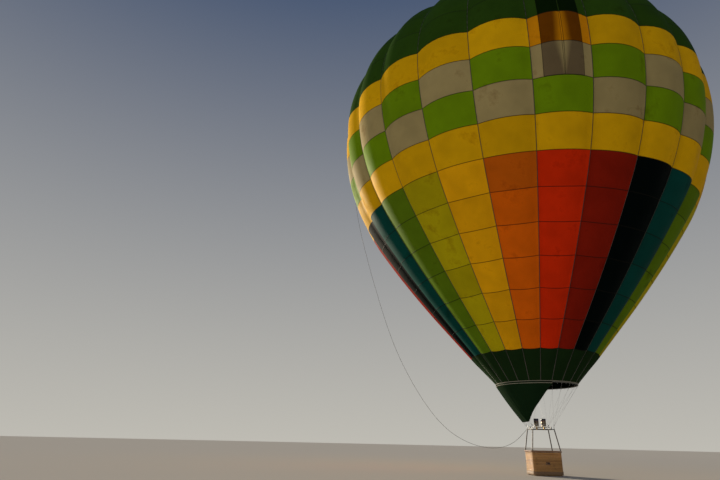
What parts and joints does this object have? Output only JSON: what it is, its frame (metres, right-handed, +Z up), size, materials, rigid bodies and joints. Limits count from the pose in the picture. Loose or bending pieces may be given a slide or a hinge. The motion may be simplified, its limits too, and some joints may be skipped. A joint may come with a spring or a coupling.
{
  "type": "hot air balloon",
  "caption": "Inflated hot air balloon with bulged coloured gores, a checked band, parachute valve, mouth scoop, twin tilting burners and a wicker basket hung from a load frame.",
  "frame": {"origin": "centre of the envelope's widest ring, on its upright axis", "axes": "+Z up along the envelope's axis; -Y is the long side of the basket that faces the viewer; +X to that viewer's right"},
  "size_m": [21.2062, 21.2268, 27.961],
  "materials": {
    "crown_cloth": "dark green coated ripstop cloth with sewn panel seams",
    "vent_cloth": "dark green coated ripstop cloth, single thickness",
    "band_cloth": "gold, green and pale grey coated ripstop cloth in checked rows",
    "gore_cloth": "coated ripstop cloth, one colour to each gore, from red through black and green to gold",
    "mouth_cloth": "very dark green heat-resistant cloth with a matt weave",
    "tape": "dark woven load tape with a sewn edge",
    "rope": "dark braided line",
    "wire": "stranded stainless wire",
    "steel": "stainless tube and bar, brushed",
    "burner_steel": "stainless sheet and coil with heat tint near the flame",
    "brass": "satin brass valve blocks, slightly tarnished",
    "wicker": "woven willow, lightly varnished",
    "leather": "brown hide, stitched, worn paler on the edges",
    "wood": "scuffed ash runners",
    "floor_board": "plywood floor, worn in the middle",
    "cover": "padded dark cloth sleeves and jackets"
  },
  "bodies": {
    "balloon": {"crown_panels": "crown_cloth", "shoulder_panels": "crown_cloth", "girth_panels": "crown_cloth", "upper_band_panels": "band_cloth", "lower_band_panels": "band_cloth", "upper_gore_panels": "gore_cloth", "lower_gore_panels": "gore_cloth", "mouth_band_panels": "mouth_cloth", "turning_vent_front": "vent_cloth", "turning_vent_rear": "vent_cloth", "crown_tapes": "tape", "crown_ring": "steel", "mouth_hem": "tape", "flying_wires_front_right": "wire", "flying_wires_rear_right": "wire", "flying_wires_rear_left": "wire", "flying_wires_front_left": "wire", "scoop": "mouth_cloth", "load_frame": "steel", "basket_floor": "floor_board", "basket_walls": "wicker", "hide_band": "leather", "rim_padding": "leather", "runner_front": "wood", "runner_middle": "wood", "runner_rear": "wood", "upright_front_right": "cover", "upright_rear_right": "cover", "upright_rear_left": "cover", "upright_front_left": "cover", "fuel_cylinder_front_right": "cover", "fuel_cylinder_rear_right": "cover", "fuel_cylinder_rear_left": "cover", "fuel_cylinder_front_left": "cover", "crown_line_lying": "rope", "crown_line_hanging": "rope"},
    "parachute_valve": {"parachute_valve": "crown_cloth"},
    "gimbal_ring": {"gimbal_ring": "steel"},
    "burner": {"burner_bar": "brass", "burner_can_left": "burner_steel", "burner_coil_left": "burner_steel", "burner_can_right": "burner_steel", "burner_coil_right": "burner_steel"}
  },
  "joints": [
    {"name": "valve_slide", "type": "slide", "parent": "balloon", "child": "parachute_valve", "axis": [0, 0, -1], "range_m": [0, 1.2], "stiffness_N_per_m": 300, "springref_m": -0.6},
    {"name": "gimbal_roll", "type": "hinge", "parent": "balloon", "child": "gimbal_ring", "pos_m": [0, 0, -17], "axis": [1, 0, 0], "range_deg": [-15, 15]},
    {"name": "burner_pitch", "type": "hinge", "parent": "gimbal_ring", "child": "burner", "pos_m": [0, 0, -17], "axis": [0, 1, 0], "range_deg": [-15, 15]}
  ]
}
